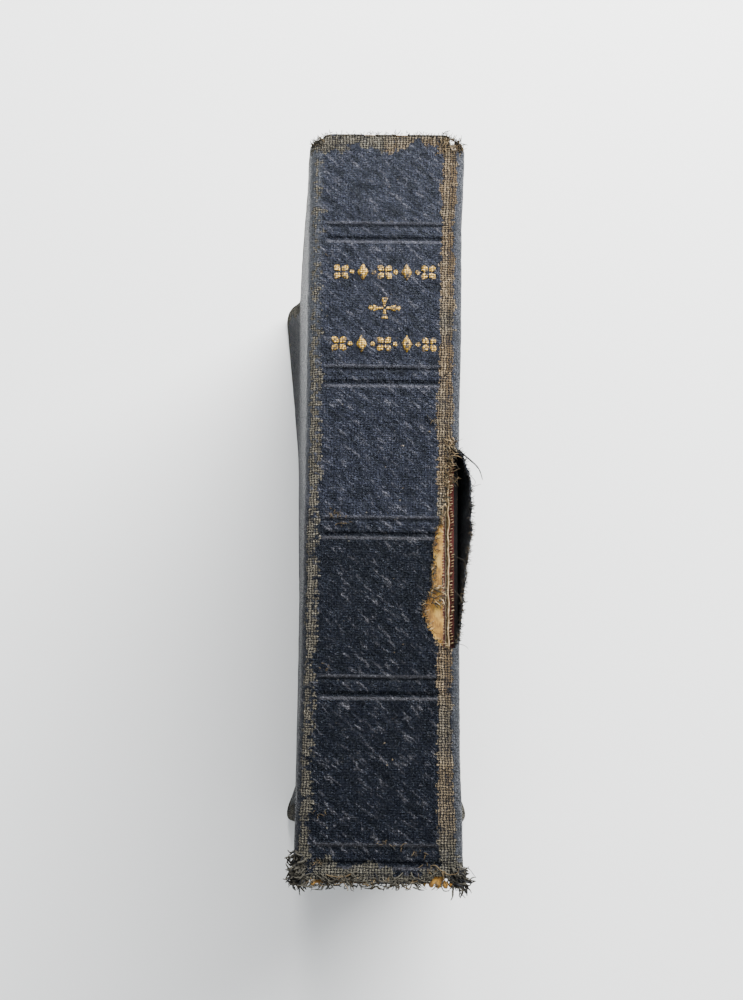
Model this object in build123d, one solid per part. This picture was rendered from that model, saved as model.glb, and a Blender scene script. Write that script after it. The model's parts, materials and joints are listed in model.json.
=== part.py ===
"""A small prayer book, case-bound in grained cloth with a flat spine.

It stands on the fore edges of its two covers with the spine up. X runs through the book's thickness
(+X is the front cover), Y along the spine (+Y is the head), Z up. The origin is under the middle of the
book, on the surface that it stands on. Everything is drawn with the book shut, and then each cover and
each loose leaf is turned about its joint to the angle at which it stands. Millimetres.
"""

from build123d import *
from math import cos, radians, sin
import os

# Case
board_height = 139.4  # along the spine
board_width = 94.2  # from the joint to the fore edge
board_t = 1.8
board_corner_r = 4.0  # at the two fore-edge corners
cloth_t = 0.3
turn_in = 12.0  # cloth folded over the board's edges
splay = 4.5  # degrees that each cover stands open

# Joint between the spine and a cover
shoulder_below = 1.45  # spine cloth past the inlay's turned-in cloth, down each shoulder
joint_gap = 0.6  # from the axis down to the board's back edge
joint_clear = 0.15  # from the axis to the cloth on either side of it

# Spine
shoulder_r = 2.4  # of the cloth over each long edge of the spine
inlay_t = 0.8
lining_t = 0.25
mull_t = 0.25
stitch_r = 0.125
tape_t = 0.35
tape_width = 6.0
tape_pitch = 42.0
tape_count = 3
kettle_inset = 9.0  # from the ends of the leaves to the kettle stitches
kettle_r = 0.3

# Text block
section_count = 24
section_t = 0.9
fold_r = 0.4  # at the folded edge of a section
end_square = 2.75  # covers past the leaves at head and tail
fore_square = 3.0  # covers past the leaves at the fore edge
leaf_gap = 0.15  # between the pieces that turn separately
flyleaf_t = 0.2
flyleaf_turn = 0.94  # how far a flyleaf turns for each degree of its cover
section_turns = (0.85, 0.6, 0.35)  # the same for the loose sections on each side, outermost first

# Lining of the covers
pastedown_t = 0.15
pastedown_margin = 3.0
flange_width = 24.0  # mull and tape ends under the pastedown, from the axis
slip_length = 18.0  # of a tape's end

# Headbands
headband_d = 1.7
headband_core_d = 1.0
headband_inset = 0.1

# Across the book, from the middle outwards
loose_count = len(section_turns)  # on each side
fixed_count = section_count - 2 * loose_count
core_x = fixed_count * section_t / 2
block_x = core_x + loose_count * (leaf_gap + section_t)
flyleaf_x = block_x + leaf_gap
pastedown_x = flyleaf_x + flyleaf_t + leaf_gap
lining_x = pastedown_x + pastedown_t  # the layer of turn-ins, mull and tape ends
board_x = lining_x + cloth_t
outer_cloth_x = board_x + board_t
face_x = outer_cloth_x + cloth_t
axis_x = face_x + joint_clear

# From the spine's outer face down to the turning axis
joint_drop = cloth_t + inlay_t + cloth_t + shoulder_below + joint_clear

# Up the book: a cover's lowest corner touches the ground when it stands splayed
cover_reach = joint_gap + board_width + cloth_t  # from the axis to the fore edge
axis_z = cover_reach * cos(radians(splay)) + (axis_x - lining_x) * sin(radians(splay))
spine_z = axis_z + joint_drop
inlay_z = spine_z - cloth_t - inlay_t
lining_z = inlay_z - cloth_t - lining_t  # the cloth's turned-in ends lie above the lining
mull_z = lining_z - mull_t
tape_z = mull_z - 2 * stitch_r - tape_t
section_top = tape_z
cover_low = axis_z - cover_reach
board_low = cover_low + cloth_t
board_top = axis_z - joint_gap
leaf_low = cover_low + fore_square

# Along the book
half_cover = board_height / 2 + cloth_t
half_leaf = half_cover - end_square

SIDES = {"front": 1, "back": -1}


def outline(half_width, low, high, corner_r=0.0):
    """A flat sheet's shape across Y and Z, round at its two fore-edge corners."""
    shape = Pos(0, (low + high) / 2) * Rectangle(2 * half_width, high - low)
    if corner_r > 0:
        shape = fillet(shape.vertices().group_by(Axis.Y)[0], corner_r)
    return shape


def sheet(shape, inner, outer):
    """The same shape as a slab between two distances across the book."""
    return extrude(Plane.YZ.offset(inner) * shape, outer - inner)


def block(x, y, z):
    """A box from its three pairs of limits."""
    size = [b - a for a, b in (x, y, z)]
    return Pos(*((a + b) / 2 for a, b in (x, y, z))) * Box(*size)


def stand(solid, side, turn=1.0):
    """A solid drawn on the front, turned out by its share of the splay and put on its own side."""
    hinge = Axis((axis_x, 0, axis_z), (0, -1, 0))
    turned = solid.rotate(hinge, splay * turn)
    return turned if SIDES[side] > 0 else mirror(turned, about=Plane.YZ)


def tape_places():
    """Where the sewing tapes cross the spine."""
    return [tape_pitch * (i - (tape_count - 1) / 2) for i in range(tape_count)]


def section(left):
    """One folded section: a thin slab with its fold rounded at the spine."""
    profile = Pos(left + section_t / 2, (section_top + leaf_low) / 2) * Rectangle(
        section_t, section_top - leaf_low
    )
    profile = fillet(profile.vertices().group_by(Axis.Y)[-1], fold_r)
    return extrude(Plane.XZ.offset(-half_leaf) * profile, 2 * half_leaf)


def board():
    shape = outline(board_height / 2, board_low, board_top, board_corner_r)
    return sheet(shape, board_x, outer_cloth_x)


def cover_cloth():
    """Cloth over the outside, round three edges and turned in, with a bare strip across the joint."""
    grown = outline(half_cover, cover_low, board_top, board_corner_r + cloth_t)
    wrap = sheet(grown, lining_x, face_x)
    window = outline(half_cover - turn_in, cover_low + turn_in, board_top + turn_in)
    inside = outline(board_height / 2, board_low, board_top + turn_in, board_corner_r)
    joint_strip = outline(half_cover, board_top, axis_z - joint_clear)
    wrap -= sheet(inside, board_x, outer_cloth_x)
    wrap -= sheet(window, lining_x, board_x)
    return wrap + sheet(joint_strip, outer_cloth_x, face_x)


def tape_slips():
    """The ends of the tapes, pasted to the board."""
    top = board_top
    return [
        block(
            (lining_x, board_x),
            (y - tape_width / 2, y + tape_width / 2),
            (top - slip_length, top),
        )
        for y in tape_places()
    ]


def mull_flange():
    """The mull beyond the spine, pasted to the board round the tape ends."""
    half = half_cover - turn_in
    flange = block((lining_x, board_x), (-half, half), (axis_z - flange_width, board_top))
    for slip in tape_slips():
        flange -= slip
    return flange


def pastedown():
    shape = outline(half_cover - pastedown_margin, cover_low + pastedown_margin, board_top)
    return sheet(shape, pastedown_x, lining_x)


def flyleaf():
    shape = outline(half_leaf, leaf_low, section_top)
    return sheet(shape, flyleaf_x, flyleaf_x + flyleaf_t)


def arch(half_width, low, high, corner_r):
    """A bar along the whole cover with its two upper edges rounded."""
    profile = Pos(0, (low + high) / 2) * Rectangle(2 * half_width, high - low)
    profile = fillet(profile.vertices().group_by(Axis.Y)[-1], corner_r)
    return extrude(Plane.XZ.offset(-half_cover) * profile, 2 * half_cover)


def turned_end():
    """Spine cloth folded over the head of the inlay and pasted under it."""
    across = (-block_x, block_x)
    under = inlay_z - cloth_t
    fold = block(across, (half_cover - turn_in, half_cover), (under, spine_z - cloth_t))
    return fold - block(across, (0, board_height / 2), (inlay_z, spine_z - cloth_t))


def spine_cloth():
    """Cloth over the inlay, round both shoulders to the joints, and turned in at head and tail."""
    low = axis_z + joint_clear
    outside = arch(face_x, low, spine_z, shoulder_r)
    inside = arch(outer_cloth_x, low, spine_z - cloth_t, shoulder_r - cloth_t)
    head = turned_end()
    return outside - inside + head + mirror(head, about=Plane.XZ)


def spine_inlay():
    """The stiff card inside the spine cloth."""
    half = board_height / 2
    return block((-block_x, block_x), (-half, half), (inlay_z, spine_z - cloth_t))


def spine_sheet(low, thickness, half_length):
    """A lining over the thread, as wide as the text block."""
    return block((-block_x, block_x), (-half_length, half_length), (low, low + thickness))


def tape(y):
    return block((-core_x, core_x), (y - tape_width / 2, y + tape_width / 2), (tape_z, tape_z + tape_t))


def section_middles():
    """The middle of each section that stays with the spine, from the front."""
    return [core_x - section_t * (i + 0.5) for i in range(fixed_count)]


def loose_section_x(place):
    """The inner face of a loose section, by its place from the outside."""
    return core_x + leaf_gap + (loose_count - 1 - place) * (section_t + leaf_gap)


def tape_stitches():
    """The thread over each tape, once for every section."""
    length = tape_width + 2
    z = mull_z - stitch_r
    return [
        Pos(x, y, z) * Rot(90, 0, 0) * Cylinder(stitch_r, length)
        for y in tape_places()
        for x in section_middles()
    ]


def kettle_stitches():
    """The chain of thread that links the sections near head and tail."""
    z = section_top + kettle_r
    places = [half_leaf - kettle_inset, -half_leaf + kettle_inset]
    return [Pos(0, y, z) * Rot(0, 90, 0) * Cylinder(kettle_r, 2 * core_x - section_t) for y in places]


def headband(end):
    """A worked band on a round core, glued over the end of the sections at the spine."""
    y = end * (half_leaf + headband_d / 2)
    z = section_top - headband_d / 2 - headband_inset
    tube = Pos(0, y, z) * Rot(0, 90, 0) * Cylinder(headband_d / 2, 2 * block_x)
    core = Pos(0, y, z) * Rot(0, 90, 0) * Cylinder(headband_core_d / 2, 2 * block_x)
    return tube - core, core


def all_parts():
    """Each node's name and its solid, or its group of solids."""
    parts = {}
    for number, x in enumerate(section_middles(), start=loose_count + 1):
        parts[f"section_{number:02d}"] = section(x - section_t / 2)
    for place, turn in enumerate(section_turns):
        loose = section(loose_section_x(place))
        parts[f"section_{place + 1:02d}"] = stand(loose, "front", turn)
        parts[f"section_{section_count - place:02d}"] = stand(loose, "back", turn)
    parts["spine_cloth"] = spine_cloth()
    parts["spine_inlay"] = spine_inlay()
    parts["spine_lining"] = spine_sheet(lining_z, lining_t, half_leaf)
    parts["mull"] = spine_sheet(mull_z, mull_t, half_leaf - end_square)
    for name, y in zip(("tail", "middle", "head"), tape_places(), strict=True):
        parts[f"sewing_tape_{name}"] = tape(y)
    parts["tape_stitches"] = Compound(tape_stitches())
    parts["kettle_stitches"] = Compound(kettle_stitches())
    for name, end in (("head", 1), ("tail", -1)):
        parts[f"{name}band"], parts[f"{name}band_core"] = headband(end)
    for side in SIDES:
        parts[f"{side}_board"] = stand(board(), side)
        parts[f"{side}_cover_cloth"] = stand(cover_cloth(), side)
        parts[f"{side}_pastedown"] = stand(pastedown(), side)
        parts[f"{side}_mull_flange"] = stand(mull_flange(), side)
        parts[f"{side}_tape_slips"] = Compound([stand(slip, side) for slip in tape_slips()])
        parts[f"{side}_flyleaf"] = stand(flyleaf(), side, flyleaf_turn)
    return parts


os.makedirs("parts", exist_ok=True)
for node, solid in all_parts().items():
    export_step(solid, f"parts/{node}.step")
    print(node)
print(f"spine face {spine_z:.3f}, axis x {axis_x:.4f} z {axis_z:.4f}, leaves from {leaf_low:.3f}")
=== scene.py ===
"""A worn prayer book standing on the fore edges of its covers, spine up. Lengths here are millimetres
until a mesh is made; X runs from the back cover to the front cover, Y from tail to head, Z up."""

import contextlib
import json
import math
import random

import bmesh
import bpy
import numpy as np
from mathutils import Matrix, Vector, noise


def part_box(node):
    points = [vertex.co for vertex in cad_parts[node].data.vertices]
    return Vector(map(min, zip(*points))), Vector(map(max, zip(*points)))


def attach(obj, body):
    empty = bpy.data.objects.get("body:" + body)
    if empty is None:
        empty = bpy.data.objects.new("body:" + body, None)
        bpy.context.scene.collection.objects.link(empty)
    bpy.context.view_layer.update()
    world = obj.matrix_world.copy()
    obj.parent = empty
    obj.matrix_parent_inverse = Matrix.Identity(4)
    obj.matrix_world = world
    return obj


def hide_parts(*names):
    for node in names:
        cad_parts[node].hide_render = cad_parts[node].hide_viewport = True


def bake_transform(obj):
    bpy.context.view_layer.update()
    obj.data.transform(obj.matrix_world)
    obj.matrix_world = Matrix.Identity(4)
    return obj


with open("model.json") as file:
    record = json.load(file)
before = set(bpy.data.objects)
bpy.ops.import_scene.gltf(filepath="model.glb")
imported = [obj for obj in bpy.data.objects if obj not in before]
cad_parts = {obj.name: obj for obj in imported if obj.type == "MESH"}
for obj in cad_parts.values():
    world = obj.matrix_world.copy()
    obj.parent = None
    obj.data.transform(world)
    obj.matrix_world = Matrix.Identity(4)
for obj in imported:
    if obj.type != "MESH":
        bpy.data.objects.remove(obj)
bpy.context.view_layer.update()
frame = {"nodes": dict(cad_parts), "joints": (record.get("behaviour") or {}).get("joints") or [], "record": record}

MM = 0.001
rng = random.Random(7)
between = rng.uniform
noise.seed_set(7)  # noise_vector starts from the clock otherwise


# ---------------------------------------------------------------- sizes, from the frame


def low(node):
    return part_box(node)[0] / MM


def high(node):
    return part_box(node)[1] / MM


HINGE = next(j for j in frame["joints"] if j["name"] == "front_cover_hinge")
AXIS_X, AXIS_Z = HINGE["pos_m"][0] / MM, HINGE["pos_m"][2] / MM
SPLAY = math.radians(-HINGE["range_deg"][0])
TURN = {c["joint"]: c["ratio"] for c in frame["record"]["behaviour"]["couplings"]}
FACE_X, HALF, SPINE_Z = high("spine_cloth")
BLOCK_X = high("mull").x
CORE_X = high("sewing_tape_head").x
INLAY_TOP, INLAY_LOW = high("spine_inlay").z, low("spine_inlay").z
LEAF_LOW, LEAF_TOP = low("section_12").z, high("section_12").z
LEAF_HALF = high("section_12").y
CLOTH = SPINE_Z - INLAY_TOP
CLEAR = AXIS_X - FACE_X  # from a hinge axis to the cloth's outer face
BOARD = 1.8
PASTEDOWN = 0.15
LEAF_GAP = 0.15
COVER_T = BOARD + 2 * CLOTH
INNER = -CLEAR - COVER_T  # a cover's inner face, measured outwards from its axis
REACH = (AXIS_Z + INNER * math.sin(SPLAY)) / math.cos(SPLAY)
SHOULDER_R = 2.4
CORNER_R = 4.3
FLAT = FACE_X - SHOULDER_R  # the flat of the spine, from its middle
P_ARC = FLAT + SHOULDER_R * math.pi / 2
P_HINGE = P_ARC + SPINE_Z - SHOULDER_R - AXIS_Z  # the cloth's length from mid spine to a hinge
P_FORE = P_HINGE + REACH
TURN_IN = 12.0
TRIM = 1.5  # the drawn cloth runs this far past its turn-in before it is cut
FOLD_R = 0.55  # radius of the cloth's fold over an edge
RIM_ANGLE = math.radians(40)  # a sheet's cut edge is sharper than this
BANDS = (49.3, 20.7, -7.9, -36.5, -65.0)  # the five tooled bands, along the spine
BAND_HALF = 1.3
TEAR_LOW, TEAR_HIGH = -29.5, 7.0  # the split in the front joint
SIGN = {"front": 1, "back": -1}  # which way along X each cover stands
FORE_EDGE_TAPER = 0.06  # the block is that much thinner at the fore edge than at the folds


# ---------------------------------------------------------------- small maths


def smooth(x):
    x = np.clip(x, 0, 1)
    return x * x * (3 - 2 * x)


def bell(x, width):
    return np.exp(-((x / width) ** 2))


def wobble(a, b, scale, seed):
    """Smooth noise from -1 to 1 over two arrays of the same shape."""
    a, b = np.broadcast_arrays(np.asarray(a, float), np.asarray(b, float))
    flat = [
        noise.noise((x / scale + 17.3 * seed, y / scale - 9.1 * seed, seed))
        for x, y in zip(a.ravel(), b.ravel())
    ]
    return np.array(flat).reshape(a.shape)


def spaced(*spans):
    """Rising values through several spans, each (from, to, step)."""
    values = []
    for start, end, step in spans:
        count = max(1, round((end - start) / step))
        values += list(np.linspace(start, end, count, endpoint=False))
    return np.array(values + [spans[-1][1]])


# ---------------------------------------------------------------- mesh helpers


def mesh_object(name, points, faces, materials, uvs=None, face_material=None):
    """A smooth mesh from points in millimetres, with a length along the cloth or leaf as its UVs."""
    mesh = bpy.data.meshes.new(name)
    mesh.from_pydata((np.asarray(points) * MM).tolist(), [], faces)
    if uvs is not None:
        layer = mesh.uv_layers.new(name="weave")
        loops = np.zeros(len(mesh.loops), int)
        mesh.loops.foreach_get("vertex_index", loops)
        layer.data.foreach_set("uv", np.asarray(uvs, float)[loops].ravel())
    for material in materials:
        mesh.materials.append(material)
    if face_material is not None:
        mesh.polygons.foreach_set("material_index", face_material)
    mesh.polygons.foreach_set("use_smooth", [True] * len(mesh.polygons))
    mesh.update()
    obj = bpy.data.objects.new(name, mesh)
    bpy.context.scene.collection.objects.link(obj)
    return obj


def grid_faces(rows, columns, keep=None, flip=False):
    """Faces of a grid of points, all of them or those marked in keep."""
    faces = []
    for i in range(rows - 1):
        for j in range(columns - 1):
            if keep is None or keep[i, j]:
                a = i * columns + j
                face = (a, a + columns, a + columns + 1, a + 1)
                faces.append(face[::-1] if flip else face)
    return faces


def tube_faces(rows, columns):
    """Faces of a tube whose rings of points are the rows, with both ends capped."""
    faces = []
    for i in range(rows - 1):
        for k in range(columns):
            n = (k + 1) % columns
            faces.append((i * columns + k, i * columns + n, (i + 1) * columns + n, (i + 1) * columns + k))
    faces.append(tuple(range(columns))[::-1])
    faces.append(tuple((rows - 1) * columns + k for k in range(columns)))
    return faces


def thickened(obj, depth):
    """The object's sheet made a solid, downwards from its face."""
    solid = obj.modifiers.new("thickness", "SOLIDIFY")
    solid.thickness, solid.offset = depth * MM, -1
    depsgraph = bpy.context.evaluated_depsgraph_get()
    mesh = bpy.data.meshes.new_from_object(obj.evaluated_get(depsgraph))
    obj.modifiers.clear()
    obj.data = mesh
    return obj


def sharp_rims(obj):
    """Flat shading where a sheet's face meets its cut edge."""
    obj.data.set_sharp_from_angle(angle=RIM_ANGLE)
    return obj


@contextlib.contextmanager
def edited(obj):
    """The object's mesh as a bmesh that is written back at the end."""
    bm = bmesh.new()
    bm.from_mesh(obj.data)
    yield bm
    bm.to_mesh(obj.data)
    bm.free()


def drop_loose(obj):
    """Removes the points that no face uses."""
    with edited(obj) as bm:
        bmesh.ops.delete(bm, geom=[vert for vert in bm.verts if not vert.link_faces], context="VERTS")


# ---------------------------------------------------------------- shader helpers


class Value:
    """A node's output that can be used in sums."""

    def __init__(self, shader, socket):
        self.shader, self.socket = shader, socket

    def _do(self, kind, *others):
        return self.shader.math(kind, self, *others)

    def __add__(self, other):
        return self._do("ADD", other)

    def __sub__(self, other):
        return self._do("SUBTRACT", other)

    def __rsub__(self, other):
        return self.shader.math("SUBTRACT", other, self)

    def __mul__(self, other):
        return self._do("MULTIPLY", other)

    def __truediv__(self, other):
        return self._do("DIVIDE", other)

    def __abs__(self):
        return self._do("ABSOLUTE")

    __radd__, __rmul__ = __add__, __mul__


class Shader:
    """One material's node tree."""

    def __init__(self, name, **constants):
        self.material = bpy.data.materials.new(name)
        self.material.use_nodes = True
        self.tree = self.material.node_tree
        self.bsdf = self.tree.nodes["Principled BSDF"]
        for socket, value in constants.items():
            self.bsdf.inputs[socket.replace("_", " ")].default_value = value

    def node(self, kind, inputs=(), **settings):
        node = self.tree.nodes.new(kind)
        for key, value in settings.items():
            setattr(node, key, value)
        for key, value in dict(inputs).items():
            self.link(node.inputs[key], value)
        return node

    def link(self, socket, value):
        if isinstance(value, Value):
            self.tree.links.new(value.socket, socket)
        elif isinstance(value, tuple) and len(value) == 3 and socket.type == "RGBA":
            socket.default_value = (*value, 1)
        else:
            socket.default_value = value

    def out(self, node, name=0):
        return Value(self, node.outputs[name])

    def math(self, kind, *values):
        return self.out(self.node("ShaderNodeMath", enumerate(values), operation=kind))

    def place(self):
        """The point itself, in metres."""
        return self.out(self.node("ShaderNodeTexCoord"), "Object")

    def split(self, vector):
        node = self.node("ShaderNodeSeparateXYZ", {0: vector})
        return [self.out(node, i) for i in range(3)]

    def uv(self):
        """The two lengths along the cloth or leaf, in millimetres."""
        return self.split(self.out(self.node("ShaderNodeUVMap"), "UV"))[:2]

    def most(self, first, *others):
        for other in others:
            first = self.math("MAXIMUM", first, other)
        return first

    def vector(self, x, y, z=0.0):
        return self.out(self.node("ShaderNodeCombineXYZ", {0: x, 1: y, 2: z}))

    def noise(self, vector, scale=1.0, detail=3.0, rough=0.5):
        inputs = {"Vector": vector, "Scale": scale, "Detail": detail, "Roughness": rough}
        return self.out(self.node("ShaderNodeTexNoise", inputs), 0)

    def random(self, vector):
        return self.out(self.node("ShaderNodeTexWhiteNoise", {"Vector": vector}), "Value")

    def remap(self, value, start, end, to_start=0.0, to_end=1.0):
        inputs = {0: value, 1: start, 2: end, 3: to_start, 4: to_end}
        return self.out(self.node("ShaderNodeMapRange", inputs, interpolation_type="SMOOTHSTEP"))

    def mix(self, factor, first, second):
        node = self.node("ShaderNodeMix", {0: factor}, data_type="RGBA")
        self.link(node.inputs[6], first)
        self.link(node.inputs[7], second)
        return Value(self, node.outputs[2])

    def bump(self, height, depth_mm, strength=1.0, normal=None):
        inputs = {"Height": height, "Distance": depth_mm * MM, "Strength": strength}
        if normal is not None:
            inputs["Normal"] = normal
        return self.out(self.node("ShaderNodeBump", inputs))

    def finish(self, colour, roughness=None, normal=None):
        self.link(self.bsdf.inputs["Base Color"], colour)
        if roughness is not None:
            self.link(self.bsdf.inputs["Roughness"], roughness)
        if normal is not None:
            self.link(self.bsdf.inputs["Normal"], normal)
        return self.material


# ---------------------------------------------------------------- materials

THREAD_X, THREAD_Y = 0.52, 0.45  # the weave's pitch across and along the spine
NAVY_LOW, NAVY_HIGH, NAVY_GAP = (0.0044, 0.0056, 0.0115), (0.012, 0.014, 0.024), (0.0005, 0.0007, 0.0018)
# lighter navy painted as the sheen of the window's reflection on the cloth
SHEEN_LOW, SHEEN_HIGH = (0.027, 0.031, 0.052), (0.052, 0.056, 0.085)
# light grey-blue painted as highlights on the grain, the higher one where the painted sheen is
GLINT_LOW, GLINT_HIGH = (0.125, 0.122, 0.135), (0.145, 0.144, 0.17)
TAN_LOW, TAN_HIGH = (0.155, 0.108, 0.06), (0.31, 0.232, 0.14)
OLIVE_LOW, OLIVE_HIGH = (0.086, 0.082, 0.064), (0.18, 0.172, 0.14)
WEAVE_GAP = (0.01, 0.009, 0.009)
# grey-blue painted as the grazing sheen along the joints
JOINT_SHEEN_LOW, JOINT_SHEEN_HIGH = (0.04, 0.044, 0.052), (0.124, 0.131, 0.143)


def woven_height(s, u, v):
    """A plain weave from 0 in the holes to 1 on top of a thread, and its crossings' column and row."""
    cell_u, cell_v = s.math("FLOOR", u / THREAD_X), s.math("FLOOR", v / THREAD_Y)
    across = s.math("COSINE", (s.math("FRACT", u / THREAD_X) - 0.5) * math.pi)
    along = s.math("COSINE", (s.math("FRACT", v / THREAD_Y) - 0.5) * math.pi)
    over = s.math("MODULO", abs(cell_u + cell_v), 2.0)
    warp_up = across * (along * 0.35 + 0.65)
    weft_up = along * (across * 0.4 + 0.6)
    height = warp_up * over + weft_up * (1 - over)
    return height, cell_u, cell_v


def rubbing(s, u, v):
    """How hard each place of the cloth has been rubbed, from 0 to 1, by where it is on the case."""
    side = s.remap(u, -0.5, 0.5)
    across, end = abs(u), abs(v)
    drift = s.noise(s.vector(u * 0.02 + side * 9.0, v), 0.11, 3) - 0.5
    from_ridge = abs(across - (side * -1.0 + FLAT + 0.55))
    ridge = 1 - s.remap(from_ridge + drift * 2.2 - side * 0.12, 0.5, 2.1)
    ridge = ridge * (side * 0.30 + 0.70) * (1 - s.remap(across + side * 1.0, FLAT + 1.7, FLAT + 3.0) * 0.75)
    ridge = ridge * (1 - s.remap(v, 22.0, 40.0) * (1 - side) * 0.34)
    fringe = s.noise(s.vector(u, v * 0.4), 0.24, 3) - 0.5
    near_end = s.remap(end + fringe * 11.0, HALF - 5.0, HALF - 2.0) * 0.92
    fore = s.remap(across, P_FORE - 2.6, P_FORE - 0.1) * 0.85
    corner = s.remap(across + end, P_FORE + HALF - 9.0, P_FORE + HALF - 3.0)
    return s.most(ridge, near_end, fore, corner), side


def band_marks(s, u, v):
    """The tooled lines: a mask for the painted shade in their grooves and one for the painted highlight on the
    edge beside each.
    """
    pitch = BANDS[0] - BANDS[1]
    near = (s.math("FRACT", (v - BANDS[0]) / pitch + 0.5) - 0.5) * pitch
    on_spine = 1 - s.remap(abs(u), FLAT - 1.6, FLAT - 0.6)
    off = abs(abs(near) - BAND_HALF)
    groove = (1 - s.remap(off, 0.12, 0.62)) * on_spine
    edge = abs(abs(near + BAND_HALF * 0.05) - BAND_HALF - 0.62)
    return groove, (1 - s.remap(edge, 0.1, 0.42)) * on_spine


def bookcloth(name):
    """Navy grained bookcloth, rubbed through to tan thread along folds and edges."""
    s = Shader(name, Specular_IOR_Level=0.12, Specular_Tint=(0.72, 0.84, 1.0, 1))
    u, v = s.uv()
    place = s.vector(u, v)
    loose = s.noise(place, 0.45, 2) - 0.5
    height, cell_u, cell_v = woven_height(s, u + loose * 0.75, v + loose * 0.6)
    crossing = s.random(s.vector(cell_u, cell_v))
    thread = s.random(s.vector(cell_u, 31.0)) * 0.5 + s.random(s.vector(cell_v, 57.0)) * 0.5

    rubbed, side = rubbing(s, u, v)
    patches = s.noise(s.vector(u * 0.9, v), 0.42, 5, 0.62) - 0.5
    blots = s.noise(s.vector(u * 1.3, v), 1.3, 3) - 0.5
    amount = rubbed * 0.66 + patches * 1.15 + blots * 0.8 + (crossing - 0.5) * 0.16 + (thread - 0.5) * 0.3
    worn = s.remap(amount, 0.33, 0.42)

    along, across = (u - v) * 0.7, (u + v) * 0.7
    warped = s.noise(place, 0.6, 2) * 2.2
    cells = s.node("ShaderNodeTexVoronoi", {"Vector": s.vector(along * 0.46 + warped, across * 0.95 + warped)},
                   feature="DISTANCE_TO_EDGE")
    crevice = 1 - s.remap(s.out(cells, "Distance"), 0.0, 0.22)
    bent = s.noise(place, 0.8, 2) * 1.5
    strokes = s.noise(s.vector(along * 0.42 + bent, across * 1.6 + bent), 1.0, 3, 0.65)
    hollows = s.noise(s.vector(along * 0.26, across * 0.55), 1.0, 3)
    speck = s.noise(s.vector(along * 0.9, across * 2.2), 1.0, 3, 0.6)
    groove, edge_highlight = band_marks(s, u, v)

    on_spine = 1 - s.remap(abs(u), P_HINGE - 1.0, P_HINGE + 12.0)
    clouds = s.noise(place, 0.08, 3) - 0.5
    # painted sheen: the cloth lighter towards the head, where the window's reflection falls, and mostly on the
    # spine
    painted_sheen = s.remap(v + clouds * 12.0, -9.5, -4.5) * 0.78 + s.remap(v, 4.0, 52.0) * 0.22
    painted_sheen = painted_sheen * (on_spine * 0.75 + 0.25)
    deep = s.mix(s.noise(place, 0.16, 3), NAVY_LOW, NAVY_HIGH)
    sheen_navy = s.mix(s.noise(place, 0.3, 3), SHEEN_LOW, SHEEN_HIGH)
    navy = s.mix(painted_sheen, deep, sheen_navy)
    # painted shade: the navy darker between the threads
    navy = s.mix((1 - height) * 0.75, navy, NAVY_GAP)
    # painted highlights: light flecks along the grain and on the thread tops, brighter under the painted sheen
    glint = s.mix(painted_sheen, GLINT_LOW, GLINT_HIGH)
    glinting = s.remap(strokes + (hollows - 0.5) * 0.4, 0.55, 0.69)
    navy = s.mix(glinting * (0.25 + height * 0.75), navy, glint)
    navy = s.mix(s.remap(speck, 0.60, 0.72) * height * 0.7, navy, glint)
    # painted shade in the grain's crevices, dark strokes and hollows
    navy = s.mix(crevice * 0.62, navy, NAVY_GAP)
    navy = s.mix(s.remap(strokes, 0.47, 0.36) * 0.70, navy, NAVY_GAP)
    navy = s.mix(s.remap(hollows, 0.50, 0.36) * 0.55, navy, NAVY_GAP)
    # painted shade in the tooled grooves and a painted highlight on the edge beside each
    navy = s.mix(groove * 0.5, navy, NAVY_GAP)
    navy = s.mix(edge_highlight * 0.34, navy, glint)

    tint = s.remap(thread, 0.3, 0.7)
    tan, olive = s.mix(tint, TAN_LOW, TAN_HIGH), s.mix(tint, OLIVE_LOW, OLIVE_HIGH)
    grey = s.remap(s.noise(s.vector(u * 0.3, v), 0.09, 2), 0.42, 0.66)
    on_shoulder, at_tail = s.remap(abs(u), FLAT + 1.8, P_HINGE) * 0.9, s.remap(v, -58.0, -66.0) * 0.9
    yarn = s.mix(s.most(grey * 0.7, (1 - side) * 0.85, on_shoulder, at_tail), tan, olive)
    yarn = s.mix(s.remap(v, -30.0, -62.0) * 0.5, yarn, OLIVE_LOW)
    yarn = s.mix(s.remap(blots + patches, 0.02, -0.16) * 0.55, yarn, NAVY_HIGH)
    dirty = s.mix(s.remap(height, 0.40, 0.74), WEAVE_GAP, yarn)
    # painted sheen: the joints and shoulders, seen at a grazing angle, lighter grey-blue, strongest on the back
    # joint towards the head
    back_joint_sheen = s.remap(u, -FLAT + 0.8, -FLAT - 0.8) * s.remap(u, -P_HINGE - 75.0, -P_HINGE - 8.0)
    back_joint_sheen = back_joint_sheen * s.remap(v + clouds * 20.0, -12.0, 34.0)
    back_joint_sheen = back_joint_sheen * s.remap(u, -FLAT + 0.8, -P_HINGE - 1.0, 0.6, 1.0)
    front_joint_sheen = s.remap(u, FLAT + 0.4, FLAT + 1.4) * s.remap(u, P_HINGE + 12.0, P_HINGE + 2.0) * 0.46
    navy = s.mix(s.most(back_joint_sheen, front_joint_sheen) * 0.85, navy, s.mix(height, JOINT_SHEEN_LOW, JOINT_SHEEN_HIGH))
    # painted shade: the covers darker towards their fore edges
    navy = s.mix(s.remap(abs(u), P_FORE - 16.0, P_FORE - 5.0) * 0.6, navy, NAVY_GAP)
    colour = s.mix(worn, navy, dirty)
    rough = s.remap(worn, 0.0, 1.0, 0.38, 0.9)
    grain = s.bump(strokes * 1.3 - crevice * 0.8 + speck * 0.5, 0.5, 1.0)
    threads = s.bump(height * (0.6 + crossing * 0.4), 0.16, 1.0, grain)
    return s.finish(colour, rough, threads)


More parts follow.
